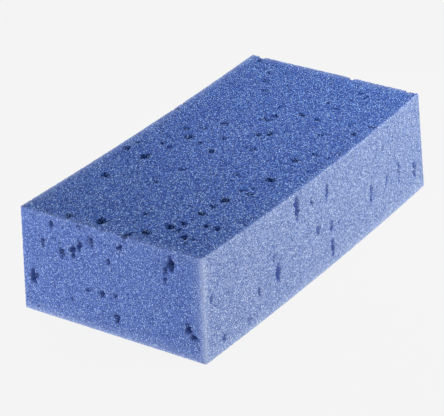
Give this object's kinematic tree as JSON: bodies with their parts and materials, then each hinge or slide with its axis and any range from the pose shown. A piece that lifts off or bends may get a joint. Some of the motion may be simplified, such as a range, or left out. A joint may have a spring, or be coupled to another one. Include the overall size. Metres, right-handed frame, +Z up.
{
  "type": "foam washing sponge",
  "caption": "Rectangular block of blue open-cell foam, sawn square and left bare, for wiping off grout residue and washing tiled floors.",
  "frame": {"origin": "middle of the bounding box at the base plane that the block rests on", "axes": "+X along the block's length towards the far end of the pictured pose, +Y across its width, +Z up through its thickness, the direction in which the foam rose"},
  "size_m": [0.2, 0.1046, 0.053],
  "materials": {
    "foam": "matte"
  },
  "bodies": {
    "root": {"foam_block": "foam"}
  },
  "joints": []
}
